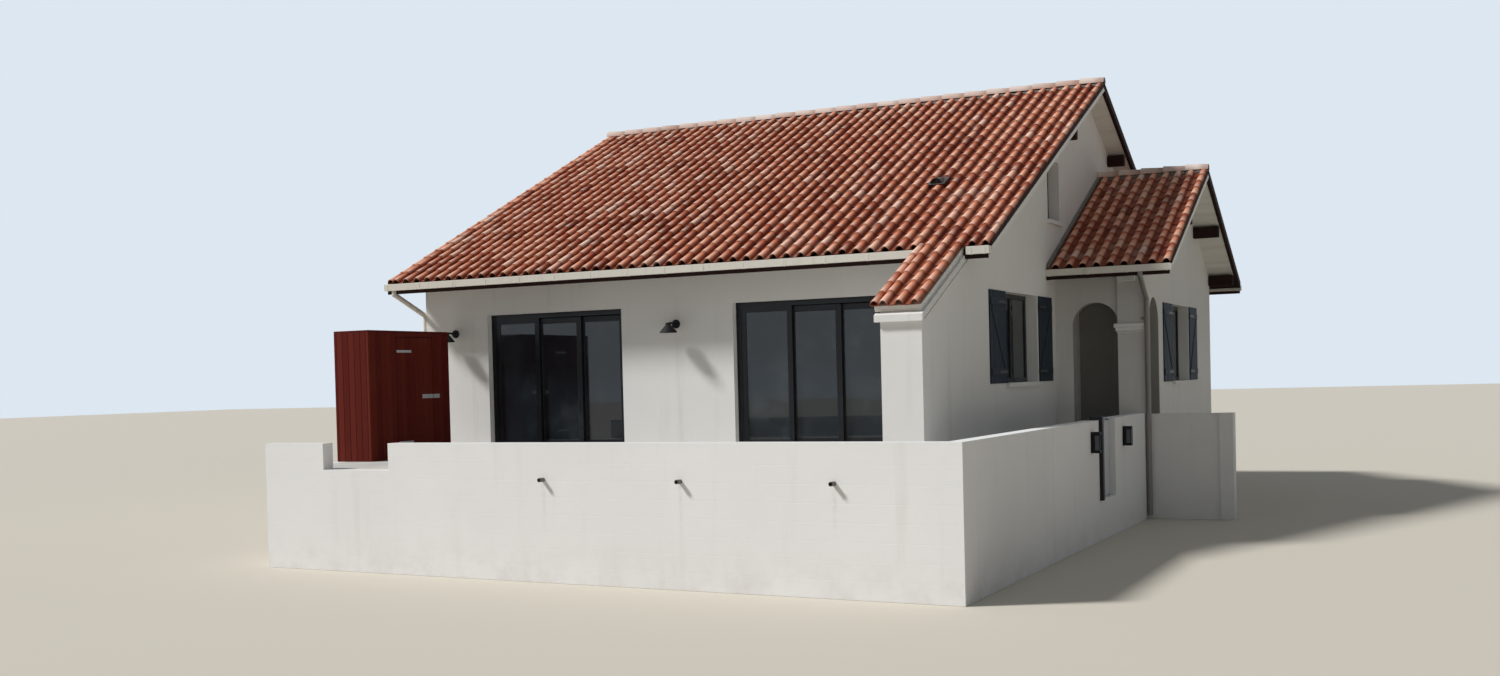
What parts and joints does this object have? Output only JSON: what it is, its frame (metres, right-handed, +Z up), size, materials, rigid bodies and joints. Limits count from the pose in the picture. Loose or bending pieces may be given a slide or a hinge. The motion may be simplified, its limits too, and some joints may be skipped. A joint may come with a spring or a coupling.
{
  "type": "beach house",
  "caption": "Rendered beach house with a clay tile roof, sliding terrace doors, an arched porch wing, a walled terrace with a gate and a timber store.",
  "frame": {"origin": "middle of the footprint on the lowest ground", "axes": "+X along the ridge to the right, +Y from the terrace to the back, +Z up"},
  "size_m": [11.89, 19.96, 7.326],
  "materials": {
    "cream_render": "fine cream render",
    "white_render": "smooth white render",
    "clay_tile": "matt mixed clay",
    "concrete_floor": "trowelled concrete",
    "cream_gutter": "satin paint",
    "maroon_timber": "worn satin paint",
    "black_frame": "satin powder coat",
    "window_glass": "clear",
    "blue_grey_shutter": "satin paint",
    "grey_door": "satin paint",
    "black_lamp": "matt paint"
  },
  "bodies": {
    "house": {"ground_floor": "concrete_floor", "loft_floor": "concrete_floor", "front_wall_base": "cream_render", "front_wall_left": "cream_render", "front_wall_middle": "cream_render", "front_wall_right": "cream_render", "front_lintel": "cream_render", "left_gable_wall": "cream_render", "right_gable_wall": "cream_render", "rear_wall": "cream_render", "buttress_wall": "cream_render", "main_roof_front": "clay_tile", "main_roof_back": "clay_tile", "ridge_tiles": "clay_tile", "main_gutters": "cream_gutter", "rear_gutter": "cream_gutter", "wing_gutters": "cream_gutter", "downpipes": "cream_gutter", "purlins": "maroon_timber", "wing_floor": "concrete_floor", "wing_front_wall": "cream_render", "wing_side_wall": "cream_render", "wing_rear_wall": "cream_render", "porch_back_wall": "cream_render", "wing_roof_front": "clay_tile", "wing_roof_back": "clay_tile", "terrace_slab": "concrete_floor", "terrace_front_wall": "white_render", "terrace_side_wall": "white_render", "gate_wall": "white_render", "terrace_left_wall": "white_render", "entry_steps": "concrete_floor", "garden_wall": "white_render", "gate_ironwork": "black_lamp", "door_frames": "black_frame", "gable_window_frame": "black_frame", "loft_window_frame": "black_frame", "wing_window_frame": "black_frame", "fixed_panes": "window_glass", "shutters": "blue_grey_shutter", "entrance_door": "grey_door", "store_shell": "maroon_timber", "wall_lights": "black_lamp", "drain_spouts": "black_lamp"},
    "left_door_middle": {"left_door_middle_leaf": "black_frame", "left_door_middle_pane": "window_glass"},
    "left_door_end": {"left_door_end_leaf": "black_frame", "left_door_end_pane": "window_glass"},
    "right_door_middle": {"right_door_middle_leaf": "black_frame", "right_door_middle_pane": "window_glass"},
    "right_door_end": {"right_door_end_leaf": "black_frame", "right_door_end_pane": "window_glass"},
    "gate": {"garden_gate": "white_render"},
    "store_door_leaf": {"store_door": "maroon_timber"}
  },
  "joints": [
    {"name": "left_middle_slide", "type": "slide", "parent": "house", "child": "left_door_middle", "axis": [-1, 0, 0], "range_m": [0, 0.698]},
    {"name": "left_end_slide", "type": "slide", "parent": "house", "child": "left_door_end", "axis": [-1, 0, 0], "range_m": [0, 1.417]},
    {"name": "right_middle_slide", "type": "slide", "parent": "house", "child": "right_door_middle", "axis": [-1, 0, 0], "range_m": [0, 0.698]},
    {"name": "right_end_slide", "type": "slide", "parent": "house", "child": "right_door_end", "axis": [-1, 0, 0], "range_m": [0, 1.417]},
    {"name": "gate_hinge", "type": "hinge", "parent": "house", "child": "gate", "pos_m": [4.575, -2.44, 0.6], "axis": [0, 0, 1], "range_deg": [-90, 0]},
    {"name": "store_door_hinge", "type": "hinge", "parent": "house", "child": "store_door_leaf", "pos_m": [-4.56, -6.777, 1.4], "axis": [0, 0, 1], "range_deg": [-95, 0]}
  ]
}
